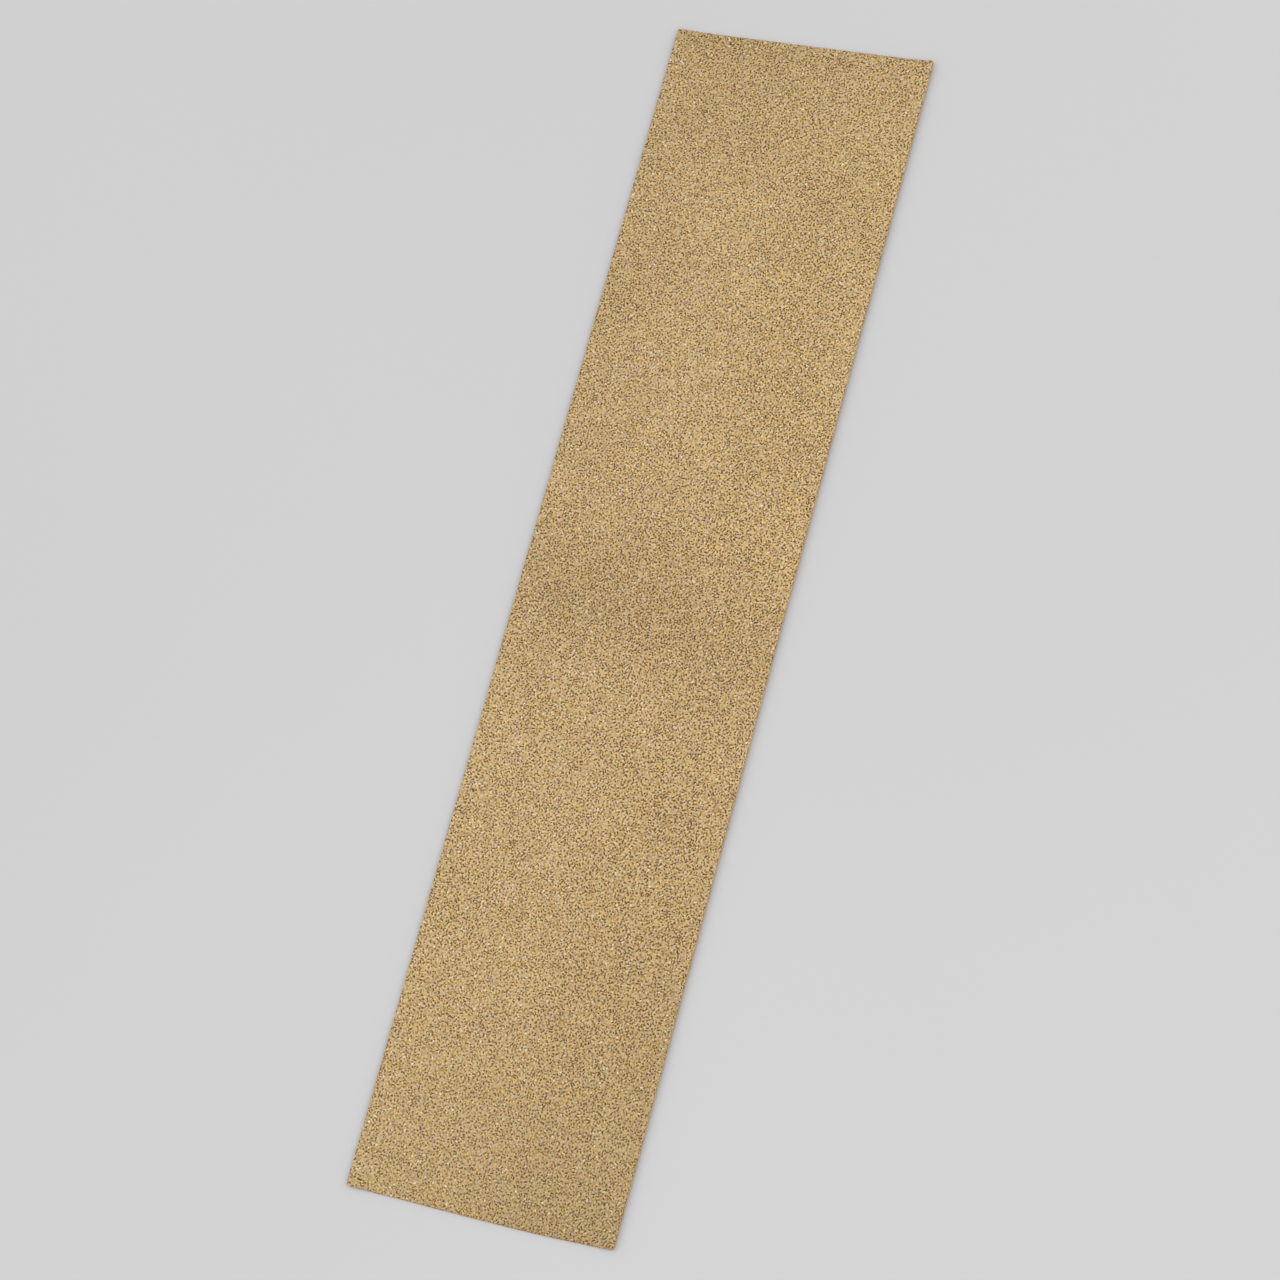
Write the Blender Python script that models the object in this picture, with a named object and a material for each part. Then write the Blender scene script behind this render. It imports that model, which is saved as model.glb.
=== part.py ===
"""Rectangular strip of coated abrasive paper, cut for a hand sanding stick or bar.

The strip is a bonded laminate, modelled as the layers that are put down one after another in its making:
backing paper, make coat, abrasive grain and size coat. The long edges curl up towards the grain side, and a
band along the middle lies flat. The near end, at -Y, is cut in a slight bow, and the far end is cut straight.

Frame, in metres: +Y runs along the strip, +X across it, +Z is up, out of the grain side. The origin is the
middle of the flat band's underside, which is what the strip rests on.
"""
import math

import bmesh
import bpy
from mathutils import Vector

# Driving dimensions of the strip
STRIP_LENGTH = 0.280
STRIP_WIDTH = 0.063
CORNER_RADIUS = 0.0006
EDGE_CURL = 0.00075
FLAT_BAND_SHARE = 0.72
END_BOW = 0.00045
END_BOW_PEAK = 0.65

# Thickness of each layer, from the underside up
PAPER_THICKNESS = 0.00036
MAKE_COAT_THICKNESS = 0.00009
GRAIN_THICKNESS = 0.00028
SIZE_COAT_THICKNESS = 0.00005

# The layers are bonded: this hair of space only keeps their solids from sharing a surface
BOND_GAP = 0.00001

# How finely the curl, the corners and the bowed end are divided
CURL_STEPS = 12
CORNER_STEPS = 4
BOW_STEPS = 12

HALF_WIDTH = STRIP_WIDTH / 2
HALF_LENGTH = STRIP_LENGTH / 2
FLAT_HALF_WIDTH = HALF_WIDTH * FLAT_BAND_SHARE
CURL_WIDTH = HALF_WIDTH - FLAT_HALF_WIDTH
CURL_RADIUS = (CURL_WIDTH ** 2 + EDGE_CURL ** 2) / (2 * EDGE_CURL)


def clear_scene():
    """Remove the objects that the file opened with."""
    for old in list(bpy.data.objects):
        bpy.data.objects.remove(old, do_unlink=True)


def layer_material(name, colour, roughness):
    """A plain non-metallic material for one layer."""
    material = bpy.data.materials.new(name)
    material.use_nodes = True
    shader = material.node_tree.nodes["Principled BSDF"]
    shader.inputs["Base Color"].default_value = (*colour, 1.0)
    shader.inputs["Roughness"].default_value = roughness
    shader.inputs["Metallic"].default_value = 0.0
    return material


def curl_stations():
    """Distances from the strip's centre line at which the curl changes slope."""
    step = CURL_WIDTH / CURL_STEPS
    return [FLAT_HALF_WIDTH + step * i for i in range(CURL_STEPS + 1)]


def curl_height(x):
    """Height of the curled sheet at x, straight between stations so that each long facet is flat."""
    step = CURL_WIDTH / CURL_STEPS
    along = max(0.0, abs(x) - FLAT_HALF_WIDTH)
    index = min(int(along / step), CURL_STEPS - 1)
    share = along / step - index

    def arc(distance):
        return CURL_RADIUS - math.sqrt(CURL_RADIUS ** 2 - distance ** 2)

    return arc(index * step) * (1 - share) + arc((index + 1) * step) * share


def corner_points(centre_x, centre_y, start_degrees):
    """A quarter circle about a corner's centre, anticlockwise from start_degrees."""
    points = []
    for i in range(CORNER_STEPS + 1):
        angle = math.radians(start_degrees + 90 * i / CORNER_STEPS)
        x = centre_x + CORNER_RADIUS * math.cos(angle)
        y = centre_y + CORNER_RADIUS * math.sin(angle)
        points.append((x, y))
    return points


def bowed_end_points():
    """The near end between its two corners, bowed outwards most at END_BOW_PEAK of the way across."""
    skew = math.log(0.5) / math.log(END_BOW_PEAK)
    reach = HALF_WIDTH - CORNER_RADIUS
    points = []
    for i in range(1, BOW_STEPS):
        share = i / BOW_STEPS
        x = reach * (2 * share - 1)
        y = -HALF_LENGTH + END_BOW - END_BOW * math.sin(math.pi * share ** skew)
        points.append((x, y))
    return points


def strip_outline():
    """Plan outline of the strip, anticlockwise from above, with its four small rounded corners."""
    right = HALF_WIDTH - CORNER_RADIUS
    far = HALF_LENGTH - CORNER_RADIUS
    near = -HALF_LENGTH + END_BOW + CORNER_RADIUS
    far_end = corner_points(right, far, 0) + corner_points(-right, far, 90)
    near_left = corner_points(-right, near, 180)
    near_right = corner_points(right, near, 270)
    return far_end + near_left + bowed_end_points() + near_right


def split_at_curl_stations(bm):
    """Cut the flat outline along the strip wherever the curl changes slope."""
    cuts = [side * x for x in curl_stations()[:-1] for side in (-1, 1)]
    for x in cuts:
        geometry = bm.verts[:] + bm.edges[:] + bm.faces[:]
        bmesh.ops.bisect_plane(bm, geom=geometry, dist=1e-7, plane_co=Vector((x, 0, 0)), plane_no=Vector((1, 0, 0)))


def build_layer(name, bottom, thickness, colour, roughness):
    """One layer of the laminate: the outline, raised by the layer's thickness and curled up at its long edges."""
    bm = bmesh.new()
    bm.faces.new([bm.verts.new((x, y, 0)) for x, y in strip_outline()])
    split_at_curl_stations(bm)
    raised = bmesh.ops.extrude_face_region(bm, geom=bm.faces[:])["geom"]
    top = {vert for vert in raised if isinstance(vert, bmesh.types.BMVert)}
    for vert in bm.verts:
        lift = thickness if vert in top else 0.0
        vert.co.z = bottom + lift + curl_height(vert.co.x)
    bmesh.ops.recalc_face_normals(bm, faces=bm.faces[:])
    mesh = bpy.data.meshes.new(name)
    bm.to_mesh(mesh)
    bm.free()
    mesh.materials.append(layer_material(name, colour, roughness))
    layer = bpy.data.objects.new(name, mesh)
    bpy.context.scene.collection.objects.link(layer)
    return layer


def backing_paper(bottom):
    """Heavy kraft paper that carries the coats and lies on the stick or the bench."""
    build_layer("backing_paper", bottom, PAPER_THICKNESS, colour=(0.42, 0.29, 0.17), roughness=0.85)
    return bottom + PAPER_THICKNESS + BOND_GAP


def make_coat(bottom):
    """First coat of resin, in which the grain is seated."""
    build_layer("make_coat", bottom, MAKE_COAT_THICKNESS, colour=(0.30, 0.17, 0.06), roughness=0.45)
    return bottom + MAKE_COAT_THICKNESS + BOND_GAP


def abrasive_grain(bottom):
    """The grain, as the closed bed of the height that the packed grains fill."""
    build_layer("abrasive_grain", bottom, GRAIN_THICKNESS, colour=(0.50, 0.35, 0.17), roughness=0.70)
    return bottom + GRAIN_THICKNESS + BOND_GAP


def size_coat(bottom):
    """Thin second coat of resin, which locks the grain from above."""
    build_layer("size_coat", bottom, SIZE_COAT_THICKNESS, colour=(0.55, 0.38, 0.18), roughness=0.40)


def main():
    clear_scene()
    height = 0.0
    height = backing_paper(height)
    height = make_coat(height)
    height = abrasive_grain(height)
    size_coat(height)


main()
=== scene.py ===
"""Looks of an abrasive paper strip: kraft paper, two coats of resin and a bed of crushed mineral grain.

Every position is in metres in the part's own frame: +Y along the strip, +X across it, +Z out of the grain
side. The grain is real relief, one small peak or pit per lattice point, and each layer replaces its plain
CAD solid.
"""
import math

import bpy
import numpy as np
from mathutils import Matrix, Vector


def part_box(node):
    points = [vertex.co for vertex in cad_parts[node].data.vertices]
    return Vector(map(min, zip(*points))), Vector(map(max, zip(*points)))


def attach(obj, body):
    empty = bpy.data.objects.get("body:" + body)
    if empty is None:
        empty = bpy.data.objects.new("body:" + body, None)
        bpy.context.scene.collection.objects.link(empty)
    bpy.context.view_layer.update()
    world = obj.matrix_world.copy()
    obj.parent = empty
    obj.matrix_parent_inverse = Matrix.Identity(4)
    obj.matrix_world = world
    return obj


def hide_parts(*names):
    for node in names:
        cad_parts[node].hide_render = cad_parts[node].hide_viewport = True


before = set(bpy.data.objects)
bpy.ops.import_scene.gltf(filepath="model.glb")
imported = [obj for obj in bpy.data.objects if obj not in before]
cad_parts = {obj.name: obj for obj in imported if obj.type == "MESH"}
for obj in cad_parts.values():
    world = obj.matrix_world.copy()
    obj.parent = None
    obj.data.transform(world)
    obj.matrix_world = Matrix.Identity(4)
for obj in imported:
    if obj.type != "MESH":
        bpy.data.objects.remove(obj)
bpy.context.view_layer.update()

MM = 0.001
SEED = 20240611

# Plan and curl of the strip, as in the part
PAPER_LOW, PAPER_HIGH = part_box("backing_paper")
HALF_WIDTH = (PAPER_HIGH.x - PAPER_LOW.x) / 2
HALF_LENGTH = (PAPER_HIGH.y - PAPER_LOW.y) / 2
CORNER_RADIUS = 0.6 * MM
EDGE_CURL = 0.75 * MM
FLAT_BAND_SHARE = 0.72
END_BOW = 0.45 * MM
END_BOW_PEAK = 0.65
CURL_WIDTH = HALF_WIDTH * (1 - FLAT_BAND_SHARE)
CURL_RADIUS = (CURL_WIDTH ** 2 + EDGE_CURL ** 2) / (2 * EDGE_CURL)

# Heights of the layers over the strip's underside, where it lies flat
PAPER_TOP = 0.36 * MM
FILM_BOTTOM = 0.362 * MM
FILM_TOP = 0.455 * MM
GRAIN_BOTTOM = 0.46 * MM
GRAIN_FLOOR = 0.47 * MM
GRAIN_TOP = 0.808 * MM
RESIN_LEVEL = 0.54 * MM

# How much the film's top is uneven, and how high and how wide the resin's waves are
FILM_UNEVENNESS = 0.02 * MM
RESIN_WAVE = 0.03 * MM
RESIN_WAVE_SIZE = 1.4 * MM

# Fineness of each layer's lattice, how far its points are shaken, in steps, and how ragged each cut edge is
GRAIN_PITCH = 0.31 * MM
RESIN_PITCH = 0.60 * MM
FILM_PITCH = 0.90 * MM
PAPER_PITCH = 1.10 * MM
POINT_JITTER = 0.30
GRAIN_PATCHES = 5
GRAIN_RAGGED = 0.11 * MM
RESIN_RAGGED = 0.12 * MM
FILM_RAGGED = 0.06 * MM
PAPER_FRAY = 0.02 * MM

# Relief of the grain: the share of gaps and how it varies, the height at which gaps turn into grains, how
# strongly neighbours differ, and how strongly heights crowd round the middle
GAP_SHARE = 0.25
GAP_VARIATION = 0.02
GAP_CLUSTER_SIZE = 2.2 * MM
GAP_DRIFT_SIZE = 24 * MM
SHOULDER = 0.42
SPREAD = 0.6
CROWDING = 1.6

# How far the relief is evened out towards its mean: everywhere, and more towards each end
MEAN_RELIEF = 0.62
EVENNESS = 0.02
NEAR_EVENNESS = 0.13
FAR_EVENNESS = 0.05
EVENNESS_REACH = 0.2

# Rare grains: the share given a painted highlight, where they stand high enough, and the share that is dark
PAINTED_GLINT_SHARE = 0.015
PAINTED_GLINT_RELIEF = 0.7
DARK_SHARE = 0.015

# Wear and sag along the cuts, a browner tint close to both ends, and how far in each reaches
GRAIN_WEAR = 0.05
GRAIN_WEAR_REACH = 0.35 * MM
GRAIN_END_BROWN_REACH = 0.7 * MM
RESIN_SAG = 0.05 * MM
RESIN_SAG_REACH = 0.5 * MM
PAPER_WEAR_REACH = 1.2 * MM

# How pale the cut grain is at the foot of its walls, as the relief that has that colour
CUT_RELIEF = 0.9

# Slow light and dark of the coating: depths in lightness, places and reaches as shares of the strip's length
COATING_LIGHTNESS = 0.95
# Across the strip the coating turns lighter to one side: painted shade, as on a sheet twisted a little under
# the lamp
ENDS_SHADE_TILT = 0.045
MIDDLE_SHADE_TILT = 0.05
MIDDLE_SHADE_TILT_PLACE = 0.62
MIDDLE_SHADE_TILT_REACH = 0.22
# A band at the middle, the rims and both ends are simply darker by these depths
BAND_DEPTH = 0.085
BAND_PLACE = 0.52
BAND_REACH = 0.045
BAND_SLANT = 0.055
RIM_DEPTH = 0.07
RIM_REACH = 0.04
NEAR_DEPTH = 0.08
NEAR_REACH = 0.22
FAR_DEPTH = 0.03
FAR_REACH = 0.25
NEAR_OLIVE_REACH = 0.3
FAR_OLIVE_REACH = 0.35

# Colours, in linear RGB
OLIVE_TINT = (0.993, 1.004, 0.99)
# A painted highlight, pale, on a few high grains
PAINTED_GLINT_COLOUR = (0.84, 0.76, 0.60)
DARK_GRAIN_COLOUR = (0.045, 0.028, 0.014)
END_BROWN_COLOUR = (0.34, 0.20, 0.09)
FLECK_COLOUR = (0.20, 0.115, 0.055)
PAPER_CORE_COLOUR = (0.80, 0.60, 0.36)
FLOOR_COLOUR = (0.54, 0.54, 0.545)
SURROUND_COLOUR = (0.83, 0.83, 0.83)

# The range that most of a noise's values lie in
NOISE_LOW = 0.3
NOISE_HIGH = 0.7

# Camera: where it looks from, and how it is turned about its own axis
CAMERA_AZIMUTH = 55.1979
CAMERA_ELEVATION = 65.4784
CAMERA_ROLL = -42.1407
CAMERA_AIM = Vector((-0.0002, -0.00686, 0.0))
CAMERA_DISTANCE = 0.87414
CAMERA_LENS = 110.35

# Floor and lights: angles in degrees, distances and sizes in metres, power in watts
FLOOR_HALF_WIDTH = 40.0
FLOOR_HEIGHT = -0.02 * MM
SURROUND_STRENGTH = 0.84
KEY_LIGHT = {"azimuth": 75, "elevation": 62, "distance": 2.2, "size": 2.0, "watts": 28}
FILL_LIGHT = {"azimuth": -80, "elevation": 55, "distance": 2.6, "size": 2.2, "watts": 9}


# ---------------------------------------------------------------- shape

def curl_height(x):
    """How far the sheet has lifted at x, towards its long edges."""
    along = np.clip(np.abs(x) - HALF_WIDTH * FLAT_BAND_SHARE, 0.0, CURL_WIDTH)
    return CURL_RADIUS - np.sqrt(CURL_RADIUS ** 2 - along ** 2)


def near_end(x):
    """Where the near end's bowed cut runs at x."""
    skew = math.log(0.5) / math.log(END_BOW_PEAK)
    reach = HALF_WIDTH - CORNER_RADIUS
    share = np.clip((x / reach + 1) / 2, 0.0, 1.0)
    return -HALF_LENGTH + END_BOW * (1 - np.sin(math.pi * share ** skew))


def half_width_near_end(distance):
    """Half the strip's width at a distance from one of its ends, where the corners are rounded."""
    rise = CORNER_RADIUS - np.clip(distance, 0.0, CORNER_RADIUS)
    return HALF_WIDTH - CORNER_RADIUS + np.sqrt(CORNER_RADIUS ** 2 - rise ** 2)


class Lattice:
    """Triangular lattice over the strip's plan. Odd rows shift by half a step and have one more point."""

    def __init__(self, pitch, seed, ragged):
        self.columns = int(round(2 * HALF_WIDTH / pitch))
        self.rows = 2 * int(round(HALF_LENGTH / (pitch * math.sqrt(3) / 2)))
        self.random = np.random.default_rng(seed)
        self.row_step = 2 * HALF_LENGTH / self.rows
        steps = np.arange(self.columns + 1, dtype=float)
        shifted = np.concatenate(([0.0], steps[:-1] + 0.5, [float(self.columns)]))
        across, along = [], []
        for row in range(self.rows + 1):
            places = shifted if row % 2 else steps
            across.append(places)
            along.append(np.full(len(places), float(row)))
        self.starts = np.cumsum([0] + [len(places) for places in across])
        self.across = np.concatenate(across)
        self.along = np.concatenate(along)
        self.side = (self.across == 0) | (self.across == self.columns)
        self.end = (self.along == 0) | (self.along == self.rows)
        self.place(ragged)

    def row_places(self):
        """Where each row lies, in steps. A coarse lattice draws two rows in to follow the round corners."""
        places = np.arange(self.rows + 1, dtype=float)
        if self.row_step > CORNER_RADIUS / 2:
            drawn_in = np.array((1 - math.sqrt(0.5), 1.0)) * CORNER_RADIUS / self.row_step
            places[1:3] = drawn_in
            places[-3:-1] = self.rows - drawn_in[::-1]
        return places

    def place(self, ragged):
        """Lay the points out on the strip, shaken a little, and pulled in raggedly along the cuts."""
        count = len(self.across)
        shake = self.random.uniform(-POINT_JITTER, POINT_JITTER, (count, 2))
        pull = self.random.uniform(0.0, ragged, count)
        row = self.along.astype(int)
        places = self.row_places()
        still = self.end | self.side | (places != np.arange(self.rows + 1))[row]
        u = self.across + np.where(self.side, 0.0, shake[:, 0])
        v = places[row] + np.where(still, 0.0, shake[:, 1])
        distance = np.minimum(v, self.rows - v) * self.row_step
        half = half_width_near_end(distance)
        half = half - np.where(self.side, pull, 0.0)
        x = (2 * u / self.columns - 1) * half
        near = near_end(x) + np.where(self.along == 0, pull, 0.0)
        far = HALF_LENGTH - np.where(self.along == self.rows, pull, 0.0)
        self.x = x
        self.y = near + (far - near) * v / self.rows
        inside = np.minimum(half_width_near_end(distance) - np.abs(x), distance)
        self.edge_distance = np.maximum(inside, 0.0)
        self.end_distance = np.maximum(distance, 0.0)

    def row(self, row):
        """Indices of the points of one row."""
        return np.arange(self.starts[row], self.starts[row + 1])

    def triangles(self, first, last):
        """The lattice's triangles between two even rows, with points counted from the first row's start."""
        faces = []
        for row in range(first, last):
            even, odd = (row, row + 1) if row % 2 == 0 else (row + 1, row)
            e = self.row(even)
            o = self.row(odd)
            ups = np.stack((e[:-1], e[1:], o[1:-1]), axis=1)
            downs = np.stack((o[:-1], o[1:], e), axis=1)
            if row % 2 == 0:
                downs = downs[:, [0, 2, 1]]
            else:
                ups = ups[:, [0, 2, 1]]
            faces.append(ups)
            faces.append(downs)
        return np.concatenate(faces) - self.starts[first]

    def neighbour_mean(self, values):
        """For each point, the mean of a value over the points that it shares a triangle with."""
        faces = self.triangles(0, self.rows)
        total = np.zeros(len(values))
        times = np.zeros(len(values))
        for a, b, c in ((0, 1, 2), (1, 2, 0), (2, 0, 1)):
            total += np.bincount(faces[:, a], values[faces[:, b]] + values[faces[:, c]], len(values))
            times += np.bincount(faces[:, a], minlength=len(values)) * 2
        return total / times


def smooth_field(lattice, cell, seed):
    """A smooth random field over the strip, about -1 to 1, whose lumps are about one cell wide."""
    random = np.random.default_rng(seed)
    wide = int(2 * HALF_WIDTH / cell) + 4
    tall = int(2 * HALF_LENGTH / cell) + 4
    knots = random.uniform(-1, 1, (tall, wide))
    gx = (lattice.x + HALF_WIDTH) / cell + 1
    gy = (lattice.y + HALF_LENGTH) / cell + 1
    ix = np.clip(gx.astype(int), 0, wide - 2)
    iy = np.clip(gy.astype(int), 0, tall - 2)
    fx = gx - ix
    fy = gy - iy
    fx = fx * fx * (3 - 2 * fx)
    fy = fy * fy * (3 - 2 * fy)
    low = knots[iy, ix] * (1 - fx) + knots[iy, ix + 1] * fx
    high = knots[iy + 1, ix] * (1 - fx) + knots[iy + 1, ix + 1] * fx
    return low * (1 - fy) + high * fy


def underside_faces(near, far, left, right):
    """Long strips between the two ends of the underside, and one face along each of its sides."""
    faces = []
    for i in range(1, len(near) - 2):
        faces.append([near[i], far[i], far[i + 1], near[i + 1]])
    faces.append(left + [far[1], near[1]])
    faces.append([near[-2], far[-2]] + right[::-1])
    return faces


def closed_sheet(name, lattice, top, bottom, first=0, last=None, attributes=()):
    """A closed solid over some of the lattice's rows: the lattice on top, walls round it, a coarse underside.

    Each attribute is its name, its values at the lattice's points, and its value along the foot of the
    walls, where None repeats the values above.
    """
    last = lattice.rows if last is None else last
    low, high = lattice.starts[first], lattice.starts[last + 1]
    x, y = lattice.x[low:high], lattice.y[low:high]
    top_points = np.stack((x, y, top[low:high] + curl_height(x)), axis=1)
    near_row = lattice.row(first) - low
    far_row = lattice.row(last) - low
    left = np.array([lattice.row(row)[0] for row in range(first, last + 1)]) - low
    right = np.array([lattice.row(row)[-1] for row in range(first, last + 1)]) - low
    ring = np.concatenate((near_row, right[1:-1], far_row[::-1], left[1:-1][::-1]))
    under = top_points[ring].copy()
    under[:, 2] = bottom + curl_height(under[:, 0])
    count = len(top_points)
    below = {int(point): count + i for i, point in enumerate(ring)}
    faces = lattice.triangles(first, last).tolist()
    for a, b in zip(ring, np.roll(ring, -1)):
        faces.append([below[int(a)], below[int(b)], int(b), int(a)])
    sides = ([below[int(point)] for point in side] for side in (near_row, far_row, left, right))
    faces += underside_faces(*sides)
    mesh = bpy.data.meshes.new(name)
    mesh.from_pydata(np.concatenate((top_points, under)).tolist(), [], faces)
    for key, values, foot in attributes:
        layer = mesh.attributes.new(key, "FLOAT", "POINT")
        values = values[low:high]
        foot_values = values[ring] if foot is None else np.full(len(ring), foot)
        layer.data.foreach_set("value", np.concatenate((values, foot_values)).astype(np.float32))
    mesh.validate()
    piece = bpy.data.objects.new(name, mesh)
    bpy.context.scene.collection.objects.link(piece)
    return piece


# ---------------------------------------------------------------- materials

def new_material(name):
    """A node material, its tree and its shader."""
    material = bpy.data.materials.new(name)
    material.use_nodes = True
    tree = material.node_tree
    return material, tree, tree.nodes["Principled BSDF"]


def node(tree, kind, links=None, **settings):
    """Add a node. Settings are the node's own; links name an input and give it a socket or a value."""
    made = tree.nodes.new(kind)
    for key, value in settings.items():
        setattr(made, key, value)
    for key, value in (links or {}).items():
        if isinstance(value, bpy.types.NodeSocket):
            tree.links.new(value, made.inputs[key])
        else:
            made.inputs[key].default_value = value
    return made


def object_place(tree, stretch=(1, 1, 1), turn=0.0):
    """Position on the part, stretched and turned about Z, for the textures."""
    place = node(tree, "ShaderNodeTexCoord").outputs["Object"]
    links = {"Vector": place, "Scale": stretch, "Rotation": (0, 0, turn)}
    return node(tree, "ShaderNodeMapping", links).outputs["Vector"]


def noise(tree, place, size, detail=2.0, roughness=0.5):
    """Noise whose lumps are about size metres wide, 0 to 1."""
    links = {"Vector": place, "Scale": 1 / size, "Detail": detail, "Roughness": roughness}
    return node(tree, "ShaderNodeTexNoise", links).outputs["Fac"]


def attribute(tree, name):
    """A value stored at the mesh's points."""
    return node(tree, "ShaderNodeAttribute", attribute_name=name).outputs["Fac"]


def ramp(tree, factor, stops):
    """Colours by factor: stops are pairs of position and linear RGB."""
    made = node(tree, "ShaderNodeValToRGB", {"Fac": factor})
    elements = made.color_ramp.elements
    while len(elements) < len(stops):
        elements.new(1.0)
    for element, (position, colour) in zip(elements, stops):
        element.position = position
        element.color = (*colour, 1.0)
    return made.outputs["Color"]


def mix(tree, factor, a, b, blend="MIX"):
    """Blend two colours."""
    made = node(tree, "ShaderNodeMix", data_type="RGBA", blend_type=blend)
    for socket, value in zip((made.inputs[0], made.inputs[6], made.inputs[7]), (factor, a, b)):
        if isinstance(value, bpy.types.NodeSocket):
            tree.links.new(value, socket)
        else:
            socket.default_value = value if isinstance(value, float) else (*value, 1.0)
    return made.outputs[2]


def remap(tree, value, low, high, to_low, to_high):
    """Map a value from one range to another, clamped."""
    links = {"Value": value, "From Min": low, "From Max": high, "To Min": to_low, "To Max": to_high}
    return node(tree, "ShaderNodeMapRange", links).outputs["Result"]


def varied(tree, place, size, low, high, detail=2.0, roughness=0.5):
    """A value that varies from low to high, in lumps about size metres wide."""
    return remap(tree, noise(tree, place, size, detail, roughness), NOISE_LOW, NOISE_HIGH, low, high)


def product(tree, a, b):
    """Two values multiplied."""
    return node(tree, "ShaderNodeMath", {0: a, 1: b}, operation="MULTIPLY").outputs[0]


def shade(tree, colour, value):
    """A colour made lighter or darker by a value about 1."""
    grey = node(tree, "ShaderNodeCombineColor", {"Red": value, "Green": value, "Blue": value})
    return mix(tree, 1.0, colour, grey.outputs["Color"], "MULTIPLY")


def bump(tree, height, depth, strength):
    """A normal from a height, depth metres from its low to its high."""
    links = {"Height": height, "Distance": depth, "Strength": strength}
    return node(tree, "ShaderNodeBump", links).outputs["Normal"]


def grain_material():
    """Crushed tan mineral: dark brown in the pits, partly the resin's colour and partly painted shade; honey
    and beige on the faces; a pale painted highlight on a few high grains.
    """
    material, tree, shader = new_material("crushed_grain")
    place = object_place(tree)
    relief = attribute(tree, "relief")
    tint = attribute(tree, "tint")
    # Colour by height: near black low in the gaps, partly the dark resin and partly painted shade between the
    # grains; honey to pale towards the tops
    faces = ramp(tree, relief, (
        (0.00, (0.020, 0.009, 0.001)),
        (0.38, (0.206, 0.118, 0.035)),
        (0.62, (0.506, 0.367, 0.175)),
        (1.00, (0.874, 0.715, 0.470)),
    ))
    mineral = ramp(tree, tint, (
        (0.00, (0.84, 0.68, 0.64)),
        (0.18, (1.07, 0.89, 1.20)),
        (0.40, (0.88, 1.02, 0.98)),
        (0.62, (1.11, 0.94, 0.85)),
        (0.82, (1.07, 0.99, 0.64)),
        (1.00, (1.00, 1.12, 1.18)),
    ))
    colour = mix(tree, 1.0, faces, mineral, "MULTIPLY")
    colour = shade(tree, colour, varied(tree, place, 0.12 * MM, 0.86, 1.12, detail=1.0))
    # Slow light and dark: random lumps of tone, and painted shade across the strip
    colour = shade(tree, colour, mottle_and_painted_shade(tree))
    colour = mix(tree, attribute(tree, "olive"), colour, OLIVE_TINT, "MULTIPLY")
    # Painted highlight: a pale colour on a few high grains stands in for light glancing off their facets;
    # they are made glossier too
    painted_glint = attribute(tree, "painted_glint")
    colour = mix(tree, painted_glint, colour, PAINTED_GLINT_COLOUR)
    colour = mix(tree, attribute(tree, "dark_grain"), colour, DARK_GRAIN_COLOUR)
    # Browner close to both ends
    end_brown = remap(tree, attribute(tree, "end_brown"), 0.0, 1.0, 0.0, 0.15)
    colour = mix(tree, end_brown, colour, END_BROWN_COLOUR)
    tree.links.new(colour, shader.inputs["Base Color"])
    rough = varied(tree, place, 0.3 * MM, 0.38, 0.75, detail=1.0)
    rough = product(tree, rough, remap(tree, painted_glint, 0.0, 1.0, 1.0, 0.45))
    tree.links.new(rough, shader.inputs["Roughness"])
    chips = noise(tree, place, 0.08 * MM)
    tree.links.new(bump(tree, chips, 0.02 * MM, 0.6), shader.inputs["Normal"])
    shader.inputs["Specular IOR Level"].default_value = 0.22
    return material


def mottle_and_painted_shade(tree):
    """Slow light and dark of the coating along and across the strip, about 1: random lumps of tone, times the
    coating's lightness, whose change across the strip is painted shade.
    """
    cloud = varied(tree, object_place(tree), 26 * MM, 0.98, 1.02, roughness=0.55)
    return product(tree, cloud, attribute(tree, "coating"))


def resin_material(name, dark, light, rough_low, rough_high):
    """Amber phenolic resin: uneven colour where it lies thin or thick, and a soft gloss."""
    material, tree, shader = new_material(name)
    place = object_place(tree)
    colour = ramp(tree, noise(tree, place, 0.9 * MM, 3.0), ((NOISE_LOW, dark), (NOISE_HIGH, light)))
    tree.links.new(colour, shader.inputs["Base Color"])
    rough = varied(tree, place, 1.6 * MM, rough_low, rough_high)
    tree.links.new(rough, shader.inputs["Roughness"])
    dimples = noise(tree, place, 0.35 * MM)
    tree.links.new(bump(tree, dimples, 0.03 * MM, 0.7), shader.inputs["Normal"])
    shader.inputs["Specular IOR Level"].default_value = 0.3
    return material


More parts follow.
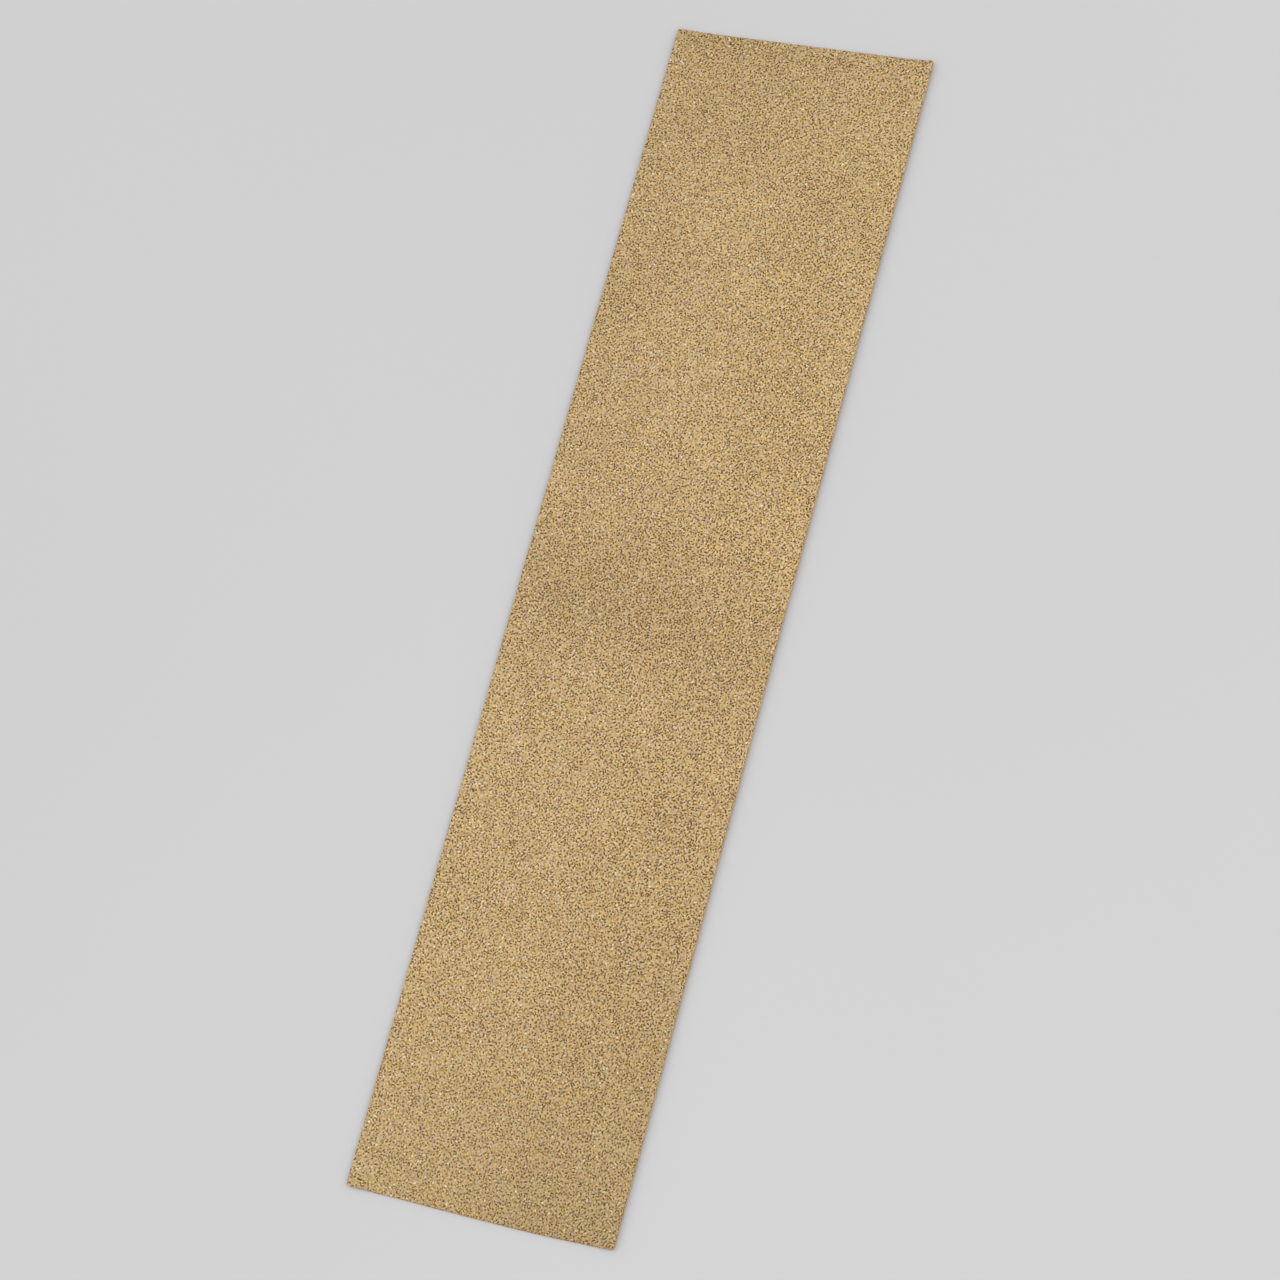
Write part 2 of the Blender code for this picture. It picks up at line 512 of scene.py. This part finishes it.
def kraft_material():
    """Brown kraft paper: fibres mostly along the strip, faint clouds and flecks, and a paler cut edge."""
    material, tree, shader = new_material("kraft")
    fibres = noise(tree, object_place(tree, (1, 0.25, 1)), 0.24 * MM, 4.0, 0.6)
    strands = noise(tree, object_place(tree, (1, 0.20, 1), 0.2), 0.8 * MM, 3.0, 0.6)
    flecks = noise(tree, object_place(tree, (1, 0.35, 1), -0.5), 0.7 * MM)
    colour = ramp(tree, fibres, (
        (0.30, (0.27, 0.165, 0.082)),
        (0.50, (0.42, 0.275, 0.150)),
        (0.72, (0.55, 0.385, 0.228)),
    ))
    colour = shade(tree, colour, remap(tree, strands, 0.35, 0.65, 0.88, 1.12))
    colour = shade(tree, colour, varied(tree, object_place(tree), 6 * MM, 0.88, 1.10, detail=3.0))
    colour = mix(tree, remap(tree, flecks, 0.68, 0.76, 0.0, 0.6), colour, FLECK_COLOUR)
    edge = remap(tree, attribute(tree, "edge_wear"), 0.0, 1.0, 0.0, 0.8)
    colour = mix(tree, edge, colour, PAPER_CORE_COLOUR)
    tree.links.new(colour, shader.inputs["Base Color"])
    tree.links.new(remap(tree, fibres, NOISE_LOW, NOISE_HIGH, 0.72, 0.92), shader.inputs["Roughness"])
    tree.links.new(bump(tree, fibres, 0.025 * MM, 0.8), shader.inputs["Normal"])
    return material


def floor_material():
    """Plain pale matte surface."""
    material, tree, shader = new_material("pale_floor")
    tone = varied(tree, object_place(tree), 0.4, 0.985, 1.015)
    tree.links.new(shade(tree, FLOOR_COLOUR, tone), shader.inputs["Base Color"])
    shader.inputs["Roughness"].default_value = 0.9
    shader.inputs["Specular IOR Level"].default_value = 0.2
    return material


# ---------------------------------------------------------------- pieces

def finish_piece(piece, material, slot, *nodes):
    """Give a piece its material and its place on the part's one body. The slot is not used."""
    piece.data.materials.append(material)
    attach(piece, "root")
    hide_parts(*nodes)


def edge_wear(distance, reach):
    """1 at an edge, falling to 0 at reach from it."""
    return np.clip(1 - distance / reach, 0.0, 1.0)


def make_paper():
    """The kraft sheet."""
    lattice = Lattice(PAPER_PITCH, SEED + 1, PAPER_FRAY)
    top = np.full(len(lattice.x), PAPER_TOP)
    wear = edge_wear(lattice.edge_distance, PAPER_WEAR_REACH)
    piece = closed_sheet("kraft_sheet", lattice, top, 0.0, attributes=(("edge_wear", wear, 0.0),))
    finish_piece(piece, kraft_material(), "kraft_paper", "backing_paper")


def make_film():
    """The make coat: a thin film whose rim shows at the cut edges."""
    lattice = Lattice(FILM_PITCH, SEED + 2, FILM_RAGGED)
    top = FILM_TOP - FILM_UNEVENNESS * lattice.random.random(len(lattice.x))
    piece = closed_sheet("make_coat_film", lattice, top, FILM_BOTTOM)
    material = resin_material("make_resin", (0.22, 0.125, 0.048), (0.38, 0.235, 0.100), 0.30, 0.50)
    finish_piece(piece, material, "amber_resin", "make_coat")


def make_resin():
    """The size coat, where it has run down and lies between the grains."""
    lattice = Lattice(RESIN_PITCH, SEED + 3, RESIN_RAGGED)
    waves = smooth_field(lattice, RESIN_WAVE_SIZE, SEED + 4)
    top = RESIN_LEVEL + RESIN_WAVE * waves
    top = top - RESIN_SAG * edge_wear(lattice.edge_distance, RESIN_SAG_REACH)
    piece = closed_sheet("size_coat_resin", lattice, top, GRAIN_BOTTOM)
    for face in piece.data.polygons:
        face.use_smooth = len(face.vertices) == 3
    # Dark brown: partly the resin's own colour, partly painted shade where it lies down between the grains
    material = resin_material("size_resin_painted_shade", (0.060, 0.028, 0.008), (0.12, 0.062, 0.020), 0.22, 0.45)
    finish_piece(piece, material, "clear_resin", "size_coat")


def share_along(lattice):
    """0 at the near end of the strip, 1 at the far end."""
    return (lattice.y + HALF_LENGTH) / (2 * HALF_LENGTH)


def swell(place, middle, reach):
    """1 at the middle, falling away smoothly on both sides of it."""
    return np.exp(-((place - middle) / reach) ** 2)


def grain_relief(lattice):
    """Height of each grain or gap, 0 to 1: peaks where a grain stands, pits between them."""
    count = len(lattice.x)
    chance = lattice.random.random(count)
    chance = chance - SPREAD * lattice.neighbour_mean(chance)
    rank = np.empty(count)
    rank[np.argsort(chance)] = np.arange(count) / count
    rank = 0.5 + 0.5 * np.sign(2 * rank - 1) * np.abs(2 * rank - 1) ** CROWDING
    gaps = GAP_SHARE + GAP_VARIATION * smooth_field(lattice, GAP_CLUSTER_SIZE, SEED + 5)
    gaps = gaps + GAP_VARIATION * smooth_field(lattice, GAP_DRIFT_SIZE, SEED + 6)
    relief = np.interp(rank - gaps, (-GAP_SHARE, 0.0, 1 - GAP_SHARE), (0.0, SHOULDER, 1.0))
    v = share_along(lattice)
    evenness = EVENNESS + NEAR_EVENNESS * swell(v, 0, EVENNESS_REACH)
    evenness = evenness + FAR_EVENNESS * swell(v, 1, EVENNESS_REACH)
    relief = relief + (MEAN_RELIEF - relief) * evenness
    return relief * (1 - GRAIN_WEAR * edge_wear(lattice.edge_distance, GRAIN_WEAR_REACH))


def coating_lightness_with_painted_shade(lattice):
    """Lightness of the coating: darker in a band at the middle and at both ends, and changing from side to
    side across it, which is painted shade as on a sheet twisted a little under the lamp.
    """
    side = lattice.x / HALF_WIDTH
    v = share_along(lattice)
    painted_tilt = side * (ENDS_SHADE_TILT * (2 * v - 1) + MIDDLE_SHADE_TILT * swell(v, MIDDLE_SHADE_TILT_PLACE, MIDDLE_SHADE_TILT_REACH))
    band = BAND_DEPTH * swell(v + BAND_SLANT * (side + 1) / 2, BAND_PLACE, BAND_REACH)
    rims = RIM_DEPTH * (np.exp(-v / RIM_REACH) + np.exp(-(1 - v) / RIM_REACH))
    ends = NEAR_DEPTH * swell(v, 0, NEAR_REACH) + FAR_DEPTH * swell(v, 1, FAR_REACH)
    return COATING_LIGHTNESS + painted_tilt - band - rims - ends


def olive_share(lattice):
    """How far the coating is a little greener: 1 at both ends, and least at the middle."""
    v = share_along(lattice)
    return swell(v, 0, NEAR_OLIVE_REACH) + swell(v, 1, FAR_OLIVE_REACH)


def make_grain():
    """The grain bed, in patches along the strip that share their border rows."""
    lattice = Lattice(GRAIN_PITCH, SEED, GRAIN_RAGGED)
    relief = grain_relief(lattice)
    tint = lattice.random.random(len(relief))
    # Grains that get a painted highlight, and dark grains
    painted_glint = (lattice.random.random(len(relief)) > 1 - PAINTED_GLINT_SHARE) & (relief > PAINTED_GLINT_RELIEF)
    dark_grain = lattice.random.random(len(relief)) > 1 - DARK_SHARE
    attributes = (
        ("relief", relief, CUT_RELIEF),
        ("tint", tint, None),
        ("painted_glint", painted_glint.astype(float), None),
        ("dark_grain", dark_grain.astype(float), None),
        # Lightness of the coating; its change from side to side across the strip is painted shade
        ("coating", coating_lightness_with_painted_shade(lattice), None),
        ("olive", olive_share(lattice), None),
        ("end_brown", edge_wear(lattice.end_distance, GRAIN_END_BROWN_REACH), None),
    )
    top = GRAIN_FLOOR + relief * (GRAIN_TOP - GRAIN_FLOOR)
    material = grain_material()
    borders = [2 * round(lattice.rows * i / GRAIN_PATCHES / 2) for i in range(GRAIN_PATCHES + 1)]
    for i in range(GRAIN_PATCHES):
        name = f"grain_bed_{i + 1}"
        piece = closed_sheet(name, lattice, top, GRAIN_BOTTOM, borders[i], borders[i + 1], attributes)
        finish_piece(piece, material, "grain", "abrasive_grain")


# ---------------------------------------------------------------- stage

def make_camera():
    """The camera at the photographed angle."""
    azimuth, elevation, roll = (math.radians(a) for a in (CAMERA_AZIMUTH, CAMERA_ELEVATION, CAMERA_ROLL))
    flat = math.cos(elevation)
    forward = Vector((-math.sin(azimuth) * flat, math.cos(azimuth) * flat, -math.sin(elevation)))
    level_right = forward.cross(Vector((0, 0, 1))).normalized()
    level_up = level_right.cross(forward)
    right = level_right * math.cos(roll) + level_up * math.sin(roll)
    up = right.cross(forward)
    turn = Matrix((right, up, -forward)).transposed().to_4x4()
    data = bpy.data.cameras.new("camera")
    data.lens = CAMERA_LENS
    data.clip_start = 0.01
    data.clip_end = 200
    camera = bpy.data.objects.new("camera", data)
    camera.matrix_world = Matrix.Translation(CAMERA_AIM - forward * CAMERA_DISTANCE) @ turn
    bpy.context.scene.collection.objects.link(camera)
    bpy.context.scene.camera = camera


def make_floor():
    """A wide plain floor just under the strip."""
    mesh = bpy.data.meshes.new("floor")
    half = FLOOR_HALF_WIDTH
    corners = [(x, y, FLOOR_HEIGHT) for x, y in ((-half, -half), (half, -half), (half, half), (-half, half))]
    mesh.from_pydata(corners, [], [(0, 1, 2, 3)])
    mesh.materials.append(floor_material())
    floor = bpy.data.objects.new("floor", mesh)
    bpy.context.scene.collection.objects.link(floor)


def make_area_light(name, azimuth, elevation, distance, size, watts):
    """A soft square light that faces the strip."""
    data = bpy.data.lights.new(name, "AREA")
    data.size = size
    data.energy = watts
    light = bpy.data.objects.new(name, data)
    a, e = math.radians(azimuth), math.radians(elevation)
    back = Vector((math.sin(a) * math.cos(e), -math.cos(a) * math.cos(e), math.sin(e)))
    light.location = back * distance
    light.rotation_mode = "QUATERNION"
    light.rotation_quaternion = (-back).to_track_quat("-Z", "Y")
    bpy.context.scene.collection.objects.link(light)


def make_lights():
    """A pale surround, a broad key from the camera's side and a weaker fill from the other."""
    world = bpy.data.worlds.new("surround")
    world.use_nodes = True
    background = world.node_tree.nodes["Background"]
    background.inputs["Color"].default_value = (*SURROUND_COLOUR, 1.0)
    background.inputs["Strength"].default_value = SURROUND_STRENGTH
    bpy.context.scene.world = world
    make_area_light("key", **KEY_LIGHT)
    make_area_light("fill", **FILL_LIGHT)


make_camera()
make_floor()
make_lights()
make_paper()
make_film()
make_resin()
make_grain()
bpy.context.scene.view_settings.view_transform = "Standard"
